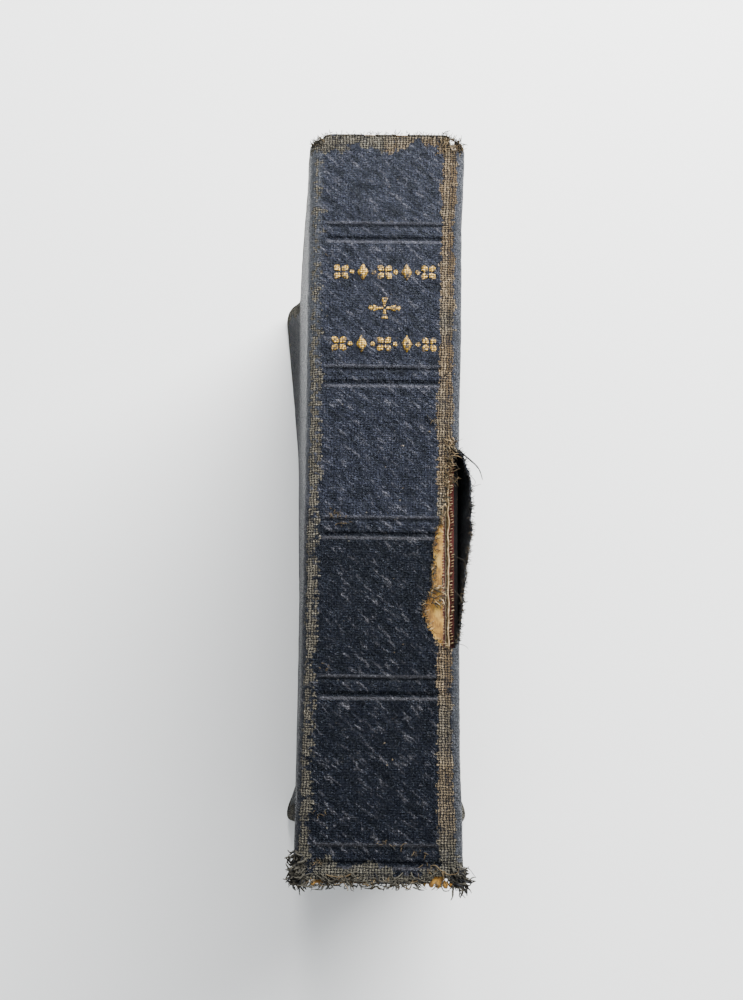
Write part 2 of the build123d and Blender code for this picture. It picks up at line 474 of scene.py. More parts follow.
def paper(name, colour, stain, spots=0.0, grain=1.0):
    """Aged paper: clouded colour, a fibrous surface and, if asked, foxing."""
    s = Shader(name, Specular_IOR_Level=0.2)
    place = s.place()
    cloud = s.noise(place, 45, 4)
    fibre = s.noise(place, 2600, 3)
    shade = s.mix(s.remap(cloud, 0.35, 0.7), colour, stain)
    if spots:
        spot = s.remap(s.noise(place, 260, 2), 0.66, 0.76)
        shade = s.mix(spot * spots, shade, tuple(c * k for c, k in zip(colour, (0.62, 0.42, 0.25))))
    return s.finish(shade, 0.86, s.bump(fibre, 0.03 * grain, 0.7))


def page_edge(name):
    """The cut edges of the leaves: browned, darkened by handling, with the leaves' own lines."""
    s = Shader(name)
    u, v = s.uv()
    line = s.noise(s.vector(u * 11.0, v * 0.06), 1.0, 2)
    dirt = s.noise(s.vector(u * 0.05, v), 0.11, 4)
    tone = s.mix(s.remap(line, 0.3, 0.7), (0.17, 0.115, 0.062), (0.34, 0.26, 0.16))
    tone = s.mix(s.remap(dirt, 0.42, 0.75) * 0.6, tone, (0.20, 0.135, 0.075))
    return s.finish(tone, 0.78, s.bump(line, 0.05, 0.8))


def thread_cloth(name, colour, gap, pitch, open_weave=0.5):
    """A coarse cloth such as mull or tape, seen by its threads."""
    s = Shader(name)
    place = s.place()
    x, y, z = s.split(place)
    a = abs(s.math("SINE", (x + z) * (math.pi / (pitch * MM))))
    b = abs(s.math("SINE", y * (math.pi / (pitch * MM))))
    height = s.math("MAXIMUM", a, b)
    tone = s.mix(s.noise(place, 300, 3), colour, tuple(c * 0.7 for c in colour))
    shade = s.mix(s.remap(height, open_weave, 0.95), gap, tone)
    return s.finish(shade, 0.88, s.bump(height, 0.08, 0.8))


def strand(name, colour, dark):
    """Loose thread: twisted fibre with dirt in it."""
    s = Shader(name, Specular_IOR_Level=0.1)
    place = s.place()
    tone = s.mix(s.remap(s.noise(place, 900, 3), 0.3, 0.7), dark, colour)
    return s.finish(tone, 0.85, s.bump(s.noise(place, 5200, 2), 0.03, 0.8))


def card(name, colour, streak, edge):
    """Layered card whose face has torn along its fibres."""
    s = Shader(name)
    place = s.place()
    x, y, z = s.split(place)
    fibres = s.noise(s.vector(x * 3000, y * 900, z * 2000), 1.0, 3, 0.65)
    patch = s.noise(place, 420, 4)
    tone = s.mix(s.remap(fibres, 0.35, 0.68), streak, colour)
    tone = s.mix(s.remap(patch, 0.46, 0.66) * 0.7, tone, edge)
    tone = s.mix(s.remap(x * 1000 + patch * 3.0, 11.6, 9.6) * 0.55, tone, streak)
    return s.finish(tone, 0.8, s.bump(fibres, 0.16, 0.9))


def gilding(name):
    """Gold leaf rubbed off the tops of the threads."""
    s = Shader(name, Metallic=0.35)
    u, v = s.uv()
    height, cell_u, cell_v = woven_height(s, u, v)
    gone = s.remap(s.noise(s.vector(u, v), 1.3, 4, 0.7) + s.random(s.vector(cell_u, cell_v)) * 0.24, 0.62, 0.76)
    gold = s.mix(s.noise(s.vector(u, v), 2.2, 2), (0.290, 0.150, 0.006), (0.450, 0.275, 0.018))
    gold = s.mix(s.remap(height, 0.75, 0.35), gold, (0.075, 0.040, 0.011))
    colour = s.mix(gone, gold, (0.020, 0.019, 0.020))
    return s.finish(colour, s.remap(gone, 0.0, 1.0, 0.36, 0.8), s.bump(height, 0.09, 0.9))


CLOTH_FACE = bookcloth("navy_bookcloth")
PAGE = paper("page_paper", (0.52, 0.43, 0.29), (0.42, 0.32, 0.19), spots=0.4)
PAGE_EDGE = page_edge("browned_page_edges")
ENDPAPER = paper("endpaper", (0.54, 0.47, 0.34), (0.42, 0.33, 0.21), spots=0.7)
LINING = paper("lining_paper", (0.2, 0.12, 0.05), (0.12, 0.065, 0.03), grain=3)
RED_BROWN = paper("glued_red_brown_paper", (0.052, 0.011, 0.008), (0.022, 0.006, 0.0048), grain=3)
# near-black paper that stands in for the shadow in the joint's gaps
PAINTED_GAP_SHADOW = paper("painted_joint_shadow", (0.0016, 0.0014, 0.0014), (0.004, 0.0026, 0.0022), grain=3)
MULL = thread_cloth("mull", (0.3, 0.23, 0.14), (0.05, 0.03, 0.015), 0.9)
TAPE = thread_cloth("linen_tape", (0.4, 0.35, 0.26), (0.16, 0.13, 0.09), 0.4, 0.2)
SILK = strand("headband_silk", (0.4, 0.19, 0.05), (0.17, 0.065, 0.018))
AMBER = card("amber_card", (0.29, 0.145, 0.012), (0.1, 0.042, 0.004), (0.41, 0.25, 0.045))
GREYBOARD = card("pulp_board", (0.2, 0.15, 0.09), (0.12, 0.085, 0.05), (0.24, 0.19, 0.13))
GOLD = gilding("rubbed_gilding")
TAN = strand("tan_thread", (0.105, 0.078, 0.043), (0.042, 0.029, 0.016))
CREAM = strand("cream_thread", (0.34, 0.26, 0.155), (0.17, 0.115, 0.062))
GREY = strand("grey_thread", (0.05, 0.0465, 0.037), (0.019, 0.0175, 0.0145))
DARK = strand("navy_thread", (0.015, 0.0155, 0.017), (0.005, 0.0052, 0.0062))
STRANDS = [TAN, GREY, DARK, CREAM]


# ---------------------------------------------------------------- the covers' shape


BACK_BOW = ((-70, -45, -26, -12, 1, 15, 26, 70), (-0.42, -0.42, -0.38, -0.2, 0.24, 0.6, 0.8, 1.6))
FRONT_BOW = ((-70, 40, 70), (-0.42, -0.42, -0.3))
BACK_SWELL = ((-70, -63, -54, -47, -39, 0, 30, 60, 70), (0.5, 0.45, 0.25, 0.2, 0, 0, 0.3, 0.5, 0.5))
FRONT_SWELL = ((-70, -60, -54, -48, -30, -10, 0, 13, 25, 37, 50, 57, 63, 70),
               (0.45, 0.35, 0.15, -0.04, -0.04, -0.03, 0, 0.07, 0.4, 0.6, 0.65, 0.95, 1.2, 1.3))


def swell(y, side):
    """How much further out a shoulder stands than a straight one, along the book."""
    return np.interp(y, *(FRONT_SWELL if side == "front" else BACK_SWELL))


def warp(d, y, side):
    """How far a cover has bowed and curled outwards, by distance from its axis and place along the book."""
    d = np.asarray(d, float)
    bend = np.clip((d - REACH + 8.5) / 8.5, 0, 1.3) ** 1.3
    tail = 3.4 * np.clip((-y - 61.5) / 8.5, 0, 1.05) ** 1.1
    head = 4.2 * np.clip((y - 24.0) / 46.0, 0, 1.03) ** 1.1 if side == "back" else 0.0
    bow = np.interp(y, *(FRONT_BOW if side == "front" else BACK_BOW))
    share = np.clip(d / REACH, 0, 1)
    bow = np.where(bow > 0, bow * np.sin(math.pi / 2 * share**0.8), bow * share)
    sunk = np.minimum(swell(y, side), 0) * (1 - smooth(d / 22))
    return bend * (head + tail) + bow + sunk


def cover_points(d, out, y, side, turn=1.0):
    """Points of a cover or leaf: d down from its axis and out from it, at its angle at rest."""
    c, s = math.cos(SPLAY * turn), math.sin(SPLAY * turn)
    sign = SIGN[side]
    x = sign * (AXIS_X + out * c + d * s)
    z = AXIS_Z + out * s - d * c
    return np.stack(np.broadcast_arrays(x, y, z), -1)


def tear_sides(q):
    """The split's inner and outer side, across from mid spine."""
    t = np.clip((q - TEAR_LOW) / (TEAR_HIGH - TEAR_LOW), 0, 1)
    inner = np.interp(t, (0, 0.03, 0.08, 0.13, 0.2, 0.25, 0.3, 0.45, 0.57, 0.62, 0.72, 0.82, 1),
                      (11.9, 10.7, 9.3, 8.1, 7.6, 8.4, 9.4, 9.6, 10.0, 11.0, 11.6, 12.1, 13.0))
    outer = np.interp(t, (0, 0.1, 0.8, 1), (13.2, 15.2, 15.0, 14.4))
    return inner, outer


def flap_lift(p, y):
    """How far the cloth beyond the split stands off the board."""
    t = np.clip((y - TEAR_LOW) / (TEAR_HIGH - TEAR_LOW), 0, 1)
    outer = tear_sides(y)[1]
    lift = 2.35 * np.sin(math.pi * t**2.0) ** 0.72 * (1 + 0.1 * np.sin(y * 0.9) * np.cos(y * 0.41))
    return np.where(p < outer - 0.8, 0, lift * (1 - smooth((p - outer) / 9.0)))


def cloth_points(p, y, depth, side):
    """The cloth's outer surface p across from mid spine, or a point that deep under it."""
    p, y, depth = np.broadcast_arrays(p, y, depth)
    sign = SIGN[side]
    angle = np.clip((p - FLAT) / SHOULDER_R, 0, math.pi / 2)
    x = np.where(p < FLAT, p, FLAT + (SHOULDER_R - depth) * np.sin(angle))
    z = SPINE_Z - SHOULDER_R + (SHOULDER_R - depth) * np.cos(angle)
    z = z - np.clip(p - P_ARC, 0, None)
    spine = np.stack([sign * x, y, z], -1)
    d = np.clip(p - P_HINGE, 0, None)
    cover = cover_points(d, -CLEAR - depth + warp(d, y, side), y, side)
    points = np.where((p > P_HINGE)[..., None], cover, spine)
    apart = swell(y, side)
    beyond = np.maximum(apart, 0) * (1 - smooth((p - P_HINGE) / 25.0))
    widen = np.where(p > P_HINGE, beyond, apart * smooth(p / FLAT))
    crushed = smooth((p - 10.0) / 3.6) * (1 - smooth((p - P_ARC) / 3.0)) * smooth((y - HALF + 3.4) / 3.4)
    widen = widen - 0.45 * crushed
    points[..., 1] -= 1.25 * crushed
    if side == "front":
        lift = flap_lift(p, y)
        widen = widen + lift
        points[..., 2] += 0.25 * lift
    points[..., 0] += sign * widen
    return points


def edge_thickness(p):
    """The cloth folds over the inlay on the spine and over the board on a cover."""
    known = (0.0, BLOCK_X, BLOCK_X + 1.5, P_HINGE - 0.5, P_HINGE + 1.5)
    return np.interp(p, known, (1.4, 1.4, 0.9, 0.8, COVER_T))


def folded(p, q):
    """Where flat cloth at (p, q) goes once its edges are turned in: p, y, and depth under the face."""
    core_p, core_q, round_r = P_FORE - FOLD_R, HALF - FOLD_R, CORNER_R - FOLD_R
    over_p, over_q = p - (core_p - round_r), np.abs(q) - (core_q - round_r)
    in_corner = (over_p > 0) & (over_q > 0)
    reach = np.hypot(np.maximum(over_p, 0), np.maximum(over_q, 0))
    past = np.where(in_corner, reach - round_r, np.maximum(over_p, over_q) - round_r)
    safe = np.maximum(reach, 1e-9)
    dir_p = np.where(in_corner, over_p / safe, (over_p > over_q).astype(float))
    dir_q = np.where(in_corner, over_q / safe, (over_p <= over_q).astype(float)) * np.sign(q)
    delta = np.maximum(past, 0)
    base_p, base_q = p - delta * dir_p, q - delta * dir_q
    thick = edge_thickness(base_p)
    r = np.minimum(FOLD_R, thick / 2)
    quarter = r * math.pi / 2
    first = np.clip(delta, 0, quarter) / r
    flat = np.clip(delta - quarter, 0, thick - 2 * r)
    second = np.clip(delta - quarter - (thick - 2 * r), 0, quarter) / r
    inward = np.maximum(delta - 2 * quarter - (thick - 2 * r), 0)
    advance = r * np.sin(first) - r * (1 - np.cos(second)) - inward
    depth = r * (1 - np.cos(first)) + flat + r * np.sin(second)
    crossed = in_corner & (inward > round_r)
    return base_p + advance * dir_p, base_q + advance * dir_q, depth, crossed, inward


# ---------------------------------------------------------------- the bookcloth


def tooled_depth(x, y):
    """How deep the bands' lines are pressed into the spine."""
    depth = np.zeros(np.broadcast(x, y).shape)
    for band in BANDS:
        for line in (band - BAND_HALF, band + BAND_HALF):
            depth = depth + 0.2 * bell(y - line, 0.4) - 0.08 * bell(y - line - 0.66, 0.32)
    return depth * (1 - smooth((np.abs(x) - FLAT + 1.8) / 1.6))


def with_bands(places, step):
    """Places along the book, with closer ones at the tooled bands."""
    places = places + [spaced((band - 2.2, band + 2.2, step)) for band in BANDS]
    return np.unique(np.round(np.concatenate(places), 3))


def grain_depth(x, y):
    """The grain that is big enough to see in profile."""
    fine = wobble(x * 0.8 + y * 0.5, y * 0.5 - x * 0.3, 1.5, 3)
    return 0.10 * np.abs(fine) + 0.08 * wobble(x, y, 6.0, 5)


def cloth_half(side):
    """The case's cloth from mid spine over one cover, as one sheet."""
    name = f"{side}_case_cloth"
    p = spaced((0, 8, 0.5), (8, P_HINGE + 3, 0.28), (P_HINGE + 3, P_FORE - 5, 2.6),
               (P_FORE - 5, P_FORE + 4, 0.42), (P_FORE + 4, P_FORE + TURN_IN + TRIM, 2.4))
    q_list = [spaced((-HALF - TURN_IN - TRIM, -HALF - 4, 2.4), (-HALF - 4, -64, 0.36), (-64, 64, 0.5),
                     (64, HALF + 4, 0.36), (HALF + 4, HALF + TURN_IN + TRIM, 2.4))]
    q = with_bands(q_list, 0.16)
    q = q[np.concatenate([[True], np.diff(q) > 0.05])]
    grid_p, grid_q = np.meshgrid(p, q, indexing="ij")
    at_p, at_y, depth, crossed, inward = folded(grid_p, grid_q)
    on_face = depth < 0.3

    sign = SIGN[side]
    pressed = tooled_depth(at_p, at_y) + grain_depth(sign * at_p, at_y)
    depth = depth + np.where(on_face, pressed, 0.0)
    points = cloth_points(at_p, at_y, depth, side)

    keep = ~crossed & (inward < TURN_IN)
    raw_tail = -HALF + 0.35 + 0.5 * wobble(grid_p, 0, 1.1, 2)
    raw_tail = raw_tail + (1.4 if side == "front" else 0.6) * bell(grid_p - 10.0, 1.1)
    raw_head = HALF - 0.15 - 0.4 * np.abs(wobble(grid_p, 0, 1.2, 8))
    on_spine = grid_p < P_HINGE + 0.5
    keep &= ~(on_spine & ((grid_q < raw_tail) | (grid_q > raw_head)))
    if side == "front":
        inner, outer = tear_sides(grid_q)
        ragged = 0.3 * wobble(grid_p, grid_q, 0.7, 4) + 0.4 * wobble(0, grid_q, 2.6, 6)
        split = (grid_q > TEAR_LOW) & (grid_q < TEAR_HIGH)
        keep &= ~(split & (grid_p > inner + ragged) & (grid_p < outer + ragged * 0.6))
        torn = 0.42 - 0.25 * np.clip((HALF - 2.8 - grid_q) / 1.4, 0, 1) + 0.25 * wobble(grid_p, grid_q, 0.8, 12)
        keep &= ~((np.abs(grid_p - 11.75 - 0.10 * (HALF - grid_q)) < torn) & (grid_q > HALF - 3.4))
    keep = keep[:-1, :-1] & keep[1:, :-1] & keep[:-1, 1:] & keep[1:, 1:]
    uvs = np.stack([sign * grid_p, grid_q], -1).reshape(-1, 2)
    faces = grid_faces(*grid_p.shape, keep=keep, flip=side == "back")
    obj = mesh_object(name, points.reshape(-1, 3), faces, [CLOTH_FACE], uvs)
    drop_loose(obj)
    sharp_rims(thickened(obj, 0.85 * CLOTH))
    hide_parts(f"{side}_cover_cloth", *(["spine_cloth"] if side == "front" else []))
    (AXIS_Z + 0.7) * MM
    (AXIS_Z - 1.2) * MM
    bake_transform(obj)
    return obj


# ---------------------------------------------------------------- boards, pastedowns and leaves


def closed_slab(face, back):
    """A closed thin solid between two grids of points: its points, faces, and which faces are rims."""
    rows, columns = face.shape[:2]
    points = np.concatenate([face.reshape(-1, 3), back.reshape(-1, 3)])
    n = rows * columns
    faces = grid_faces(rows, columns) + [tuple(n + i for i in f[::-1]) for f in grid_faces(rows, columns)]
    flat = len(faces)
    ring = list(range(columns))
    ring += [i * columns + columns - 1 for i in range(1, rows)]
    ring += [(rows - 1) * columns + j for j in range(columns - 2, -1, -1)]
    ring += [i * columns for i in range(rows - 2, 0, -1)]
    for a, b in zip(ring, ring[1:] + ring[:1]):
        faces.append((a, b, n + b, n + a))
    return points, faces, [0] * flat + [1] * (len(faces) - flat)


def joined(slabs):
    """Several meshes' points, faces and kinds of face as one."""
    points, faces, kinds, base = [], [], [], 0
    for slab_points, slab_faces, slab_kinds in slabs:
        points.append(slab_points)
        faces += [tuple(base + i for i in f) for f in slab_faces]
        kinds += slab_kinds
        base += len(slab_points)
    return np.concatenate(points), faces, kinds


def plate(name, side, span, half, corner, outs, materials):
    """A sheet that lies against a cover and follows its curl, from span[0] to span[1] below the axis."""
    d = spaced((span[0], span[1] - 6, 3.0), (span[1] - 6, span[1], 0.5))
    into = np.clip(d - (span[1] - corner), 0, corner) if corner else np.zeros_like(d)
    width = half - (corner - np.sqrt(np.maximum(corner**2 - into**2, 0)))
    end = np.linspace(-1, -0.9, 12, endpoint=False)
    t = np.concatenate([end, np.linspace(-0.9, 0.9, 50), -end[::-1]])
    y = width[:, None] * t[None, :]
    dd = np.repeat(d[:, None], len(t), 1)
    grids = [cover_points(dd, out + warp(dd, y, side), y, side) for out in outs]
    if side == "back":
        grids.reverse()
    points, faces, kinds = closed_slab(*grids)
    obj = mesh_object(name, points, faces, materials, np.stack([points[:, 0], points[:, 1]], -1),
                      kinds if len(materials) > 1 else None)
    sharp_rims(obj)
    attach(obj, f"{side}_cover")
    return obj


def board_and_pastedown(side):
    """A cover's board and the paper pasted inside it, both curled with the cover."""
    top = 0.6
    board = plate(f"{side}_curled_board", side, (top, REACH - CLOTH), HALF - CLOTH, CORNER_R - CLOTH,
                  (-CLEAR - CLOTH, INNER + CLOTH), [GREYBOARD])
    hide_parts(f"{side}_board")
    margin = 3.0
    paste = plate(f"{side}_curled_pastedown", side, (top, REACH - margin), HALF - margin, 0.5,
                  (INNER - 0.01, INNER - 0.7 * PASTEDOWN), [ENDPAPER])
    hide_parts(f"{side}_pastedown")


LEAVES_SHOWN = 7  # thin slabs that a section is built of


def leaf_slab(x_a, x_b, middle, side, turn, y_half, bottom):
    """One thin slab of leaves between two places across the book, drawn shut and then turned."""
    rows = spaced((0, 0.6, 0.2), (0.6, 15, 1.2), (15, LEAF_TOP - bottom, 8))
    y = np.linspace(-y_half, y_half, 9)
    drop, yy = np.meshgrid(rows, y, indexing="ij")
    share = drop / (LEAF_TOP - LEAF_LOW)
    pinch = 0.3 + 0.7 * smooth(drop / 0.6)
    grids = []
    for x in (x_a, x_b):
        at = (middle + (x - middle) * pinch) * (1 - FORE_EDGE_TAPER * share)
        grids.append(cover_points(AXIS_Z - LEAF_TOP + drop, at - AXIS_X, yy, side, turn))
    return closed_slab(*(grids if side == "back" else grids[::-1]))


def section(number):
    """One section as a stack of leaves whose edges don't quite line up."""
    node = f"section_{number:02d}"
    box_low, box_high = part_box(node)
    count = len([n for n in frame["nodes"] if n.startswith("section_")])
    place = min(number, count + 1 - number)
    side = "front" if number <= count / 2 else "back"
    body = next(b for b, nodes in frame["record"]["behaviour"]["bodies"].items() if node in nodes)
    loose = body != "text_block"
    if loose:
        thick = (BLOCK_X - CORE_X) / 3 - LEAF_GAP
        inner = BLOCK_X - thick - (place - 1) * (thick + LEAF_GAP)
        turn = TURN[f"{side}_section_{place}_turn"]
    else:
        thick = (box_high.x - box_low.x) / MM
        inner = min(abs(box_low.x), abs(box_high.x)) / MM
        turn = 0.0
    step = thick / LEAVES_SHOWN
    slabs = []
    for i in range(LEAVES_SHOWN):
        half = LEAF_HALF - rng.random() * 0.22
        bottom = LEAF_LOW + rng.random() * 0.30
        slabs.append(leaf_slab(inner + i * step + 0.012, inner + (i + 1) * step - 0.012,
                               inner + thick / 2, side, turn, half, bottom))
    points, faces, kinds = joined(slabs)
    uvs = np.stack([points[:, 0], points[:, 1] + points[:, 2]], -1)
    obj = sharp_rims(mesh_object(f"leaves_{number:02d}", points, faces, [PAGE, PAGE_EDGE], uvs, kinds))
    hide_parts(node)
    if loose:
        x = (AXIS_X - 3) * SIGN[side] * MM
        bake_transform(obj)
    else:
        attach(obj, "text_block")


def flyleaf(side):
    """The endpaper's free leaf: a thin slab beside the block, turned as the flyleaf is."""
    x = BLOCK_X + LEAF_GAP
    turn = TURN[f"{side}_flyleaf_turn"]
    points, faces, _ = leaf_slab(x + 0.02, x + 0.10, x + 0.06, side, turn, LEAF_HALF - 0.1, LEAF_LOW + 0.2)
    obj = sharp_rims(mesh_object(f"{side}_aged_flyleaf", points, faces, [ENDPAPER], points[:, [1, 2]]))
    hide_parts(f"{side}_flyleaf")
    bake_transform(obj)


def headband(name, node):
    """Silk worked over a core: a ribbed roll."""
    box_low, box_high = low(node), high(node)
    radius = (box_high.y - box_low.y) / 2
    centre_y, centre_z = (box_low.y + box_high.y) / 2, (box_low.z + box_high.z) / 2
    x = spaced((box_low.x, box_high.x, 0.11))
    angle = np.linspace(0, 2 * math.pi, 15)[:-1]
    xx, aa = np.meshgrid(x, angle, indexing="ij")
    rib = radius * (0.86 + 0.14 * np.abs(np.sin(math.pi * (xx + 0.12 * np.sin(aa)) / 0.62)))
    points = np.stack([xx, centre_y + rib * np.cos(aa), centre_z + rib * np.sin(aa)], -1)
    obj = mesh_object(name, points.reshape(-1, 3), tube_faces(*xx.shape), [SILK])
    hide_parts(node)
    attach(obj, "text_block")


# ---------------------------------------------------------------- the card inlay and the split's inside


def shaped_block(name, x, y, top, bottom, material, body):
    """A solid between two surfaces over a grid."""
    upper = np.stack(np.broadcast_arrays(x, y, top), -1)
    under = np.stack(np.broadcast_arrays(x, y, bottom), -1)
    points, faces, _ = closed_slab(upper, under)
    obj = sharp_rims(mesh_object(name, points, faces, [material]))
    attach(obj, body)
    return obj


def inlay():
    """The card under the spine's cloth, pressed in by the bands and broken away inside the split."""
    edge, end = high("spine_inlay").x, high("spine_inlay").y
    ys = with_bands([spaced((-end, end, 0.7))], 0.25)
    ys = ys[(np.abs(ys) < end - 0.2)]
    ys = np.concatenate([[-end], ys, [end]])
    share, y = np.meshgrid(np.linspace(-1, 1, 41), ys, indexing="ij")
    inside = (y > TEAR_LOW - 0.5) & (y < TEAR_HIGH - 1)
    broken = 11.05 + 0.18 * wobble(0, y, 0.8, 21) + 0.15 * wobble(0, y, 3.0, 22)
    corner = 10.9 + 0.25 * wobble(0, y, 0.6, 25)
    right = np.where(inside, np.minimum(broken, edge), np.where(y > end - 4.6, np.minimum(corner, edge), edge))
    x = np.where(share > 0, share * right, share * edge)
    ragged = 0.12 * wobble(x, 0, 0.8, 23) + 0.1
    y = np.clip(y, -end + ragged, end)
    frayed = smooth((x - 6.5) / 2.5) * inside * 0.10 * wobble(x * 2.5, y, 0.7, 24)
    top = INLAY_TOP - 0.02 - grain_depth(x, y) - np.maximum(tooled_depth(x, y), 0) + np.minimum(frayed, 0.0)
    obj = shaped_block("embossed_inlay", x, y, top, INLAY_LOW + 0.02, AMBER, "text_block")
    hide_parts("spine_inlay")


def split_inside():
    """What the split shows: torn red-brown lining, near-black strips painted as the shadow in the joint's gap and
    under the flap, and the board's lifted paper.
    """
    low_y, high_y = TEAR_LOW - 1.5, TEAR_HIGH + 0.5
    ys = spaced((low_y, high_y, 0.25))
    top = INLAY_TOP - 0.45
    x, y = np.meshgrid(np.linspace(10.6, 11.45, 5), ys, indexing="ij")
    upper = top + 0.10 * wobble(x * 2, y, 0.6, 31) - 0.25 * (x - 10.6)
    shaped_block("torn_lining", x, y, upper, INLAY_LOW - 0.4, RED_BROWN, "text_block")
    board_top = AXIS_Z - 0.6
    # a near-black strip painted as the shadow in the gap between block and board
    x, y = np.meshgrid(np.linspace(11.32, 11.6, 3), ys, indexing="ij")
    gap_shadow = shaped_block("joint_gap_painted_shadow", x, y, board_top + 0.1, board_top - 0.5, PAINTED_GAP_SHADOW, "text_block")
    # the second strip is near-black, painted as the shadow under the torn flap
    for name, x_from, x_to, over, material in (("board_edge_lining", 12.35, 13.35, 0.16, RED_BROWN),
                                               ("board_edge_painted_shadow", 13.35, 14.02, 0.06, PAINTED_GAP_SHADOW)):
        x, y = np.meshgrid(np.linspace(x_from, x_to, 6), ys, indexing="ij")
        upper = board_top + over + 0.07 * wobble(x * 2, y, 0.7, 32)
        strip = shaped_block(name, x, y, upper, board_top - 0.04, material, "front_cover")
    # a strip of the endpaper, pulled up from the board and standing on edge in waves
    rise, y = np.meshgrid(np.linspace(0, 1, 7), ys, indexing="ij")
    wave = 0.13 * np.sin(y * 1.25) * np.cos(y * 0.47) + 0.16 * wobble(0, y, 2.2, 33)
    x = 12.18 + (wave + 0.10) * rise
    z = board_top - 0.05 + rise * (1.25 + 0.25 * wobble(0, y, 1.6, 34)) * smooth((y - low_y) / 2.0)
    face = np.stack([x - 0.11, y, z], -1)
    back = np.stack([x + 0.11, y, z], -1)
    points, faces, _ = closed_slab(back, face)
    obj = sharp_rims(mesh_object("lifted_paper_edge", points, faces, [CREAM]))
    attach(obj, "front_cover")


def card_chips():
    """Crumbs of the card's layers, swollen out beyond the cloth at the tail corners."""
    places = [(7.9, 0.5, 0.4), (9.1, 0.75, 0.62), (10.3, 0.95, 0.72), (11.5, 0.9, 0.68), (12.5, 0.7, 0.55),
              (-8.6, 0.5, 0.40), (-9.9, 0.7, 0.5), (-11.2, 0.8, 0.55), (-12.3, 0.5, 0.40)]
    meshes = []
    for x, wide, tall in places:
        angle, around = np.meshgrid(np.linspace(0, math.pi, 11), np.linspace(0, 2 * math.pi, 17), indexing="ij")
        lump = 1 + 0.18 * wobble(np.cos(around) * 2 + x, angle, 0.8, 41)
        px = x + wide * 0.62 * np.sin(angle) * np.cos(around) * lump
        py = -HALF + 0.35 - 0.95 * np.cos(angle) * tall * lump
        shoulder = SHOULDER_R - math.sqrt(max(SHOULDER_R**2 - max(abs(x) - FLAT, 0) ** 2, 0))
        pz = INLAY_TOP - (0.05 if abs(x) > 11 else 0.45) - shoulder + 0.42 * np.sin(angle) * np.sin(around) * lump
        rows, columns = px.shape
        faces = grid_faces(rows, columns)
        meshes.append((np.stack([px, py, pz], -1).reshape(-1, 3), faces, [0] * len(faces)))
    points, faces, _ = joined(meshes)
    obj = mesh_object("card_chips", points, faces, [AMBER])
    with edited(obj) as bm:
        bmesh.ops.remove_doubles(bm, verts=bm.verts[:], dist=0.01 * MM)
        bmesh.ops.dissolve_degenerate(bm, edges=bm.edges[:], dist=0.001 * MM)
        bmesh.ops.recalc_face_normals(bm, faces=bm.faces[:])
    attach(obj, "text_block")


# ---------------------------------------------------------------- loose threads

TAN_YARN, GREY_YARN, DARK_YARN, CREAM_YARN = range(4)
MOSTLY_GREY = (GREY_YARN, GREY_YARN, GREY_YARN, TAN_YARN)
THREAD_SIDES = 5


def loose_thread(start, heading, length, curl, droop=0.0, floor=None):
    """The line of a loose thread, turning at random as it goes and kept above a floor if it has one."""
    steps = max(4, int(length / 0.3))
    at, heading = Vector(start), Vector(heading).normalized()
    seed = Vector([between(-50, 50) for _ in range(3)])
    line = [at.copy()]
    for i in range(steps):
        turn = noise.noise_vector(seed + Vector((i * 0.33, 0, 0)))
        heading = (heading + turn * curl - Vector((0, 0, droop))).normalized()
        at = at + heading * (length / steps)
        if floor is not None and at.z < floor:
            at.z = floor
        line.append(at.copy())
    return line


class Threads:
    """Loose threads gathered into one mesh per side of the book."""

    def __init__(self):
        self.sides = {"front": [], "back": []}

    def add(self, line, radius, yarn):
        side = "front" if line[0][0] > 0 else "back"
        points, heading = [], None
        for i, at in enumerate(line):
            a, b = Vector(line[max(i - 1, 0)]), Vector(line[min(i + 1, len(line) - 1)])
            along = (b - a).normalized()
            if heading is None:
                heading = along.orthogonal().normalized()
            heading = (heading - along * heading.dot(along)).normalized()
            other = along.cross(heading)
            thin = radius * (1 - 0.6 * (i / (len(line) - 1)) ** 2) * (0.85 + 0.3 * rng.random())
            for k in range(THREAD_SIDES):
                angle = 2 * math.pi * k / THREAD_SIDES
                points.append(Vector(at) + (heading * math.cos(angle) + other * math.sin(angle)) * thin)
        faces = tube_faces(len(line), THREAD_SIDES)
        self.sides[side].append((np.array([tuple(p) for p in points]), faces, [yarn] * len(faces)))

    def build(self):
        for side, meshes in self.sides.items():
            points, faces, kinds = joined(meshes)
            obj = mesh_object(f"{side}_loose_threads", points, faces, STRANDS, None, kinds)
            (AXIS_Z + 0.7) * MM
            (AXIS_Z - 1.2) * MM
            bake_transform(obj)


def on_cloth(p, y, above=0.03, side="front"):
    """A point that far over the cloth."""
    return cloth_points(np.array([p], float), np.array([y], float), np.array([-above]), side)[0]


def drawn(value):
    """A number drawn between a pair, or the number itself."""
    return between(*value) if isinstance(value, tuple) else value


def tuft(threads, count, patch, above, side, heading, length, curls, radius, yarns):
    """Threads that start anywhere in a patch of the cloth. Each pair is the range of a draw, and curls
    holds a thread's curl, then its droop if it has one."""
    for _ in range(count):
        start = on_cloth(drawn(patch[0]), drawn(patch[1]), above, side)
        line = loose_thread(start, [drawn(part) for part in heading], drawn(length), *curls)
        threads.add(line, drawn(radius), rng.choice(yarns))


def strays(threads, rows):
    """Single long threads."""
    for start, heading, length, curls, radius, yarn in rows:
        threads.add(loose_thread(start, heading, length, *curls), radius, yarn)


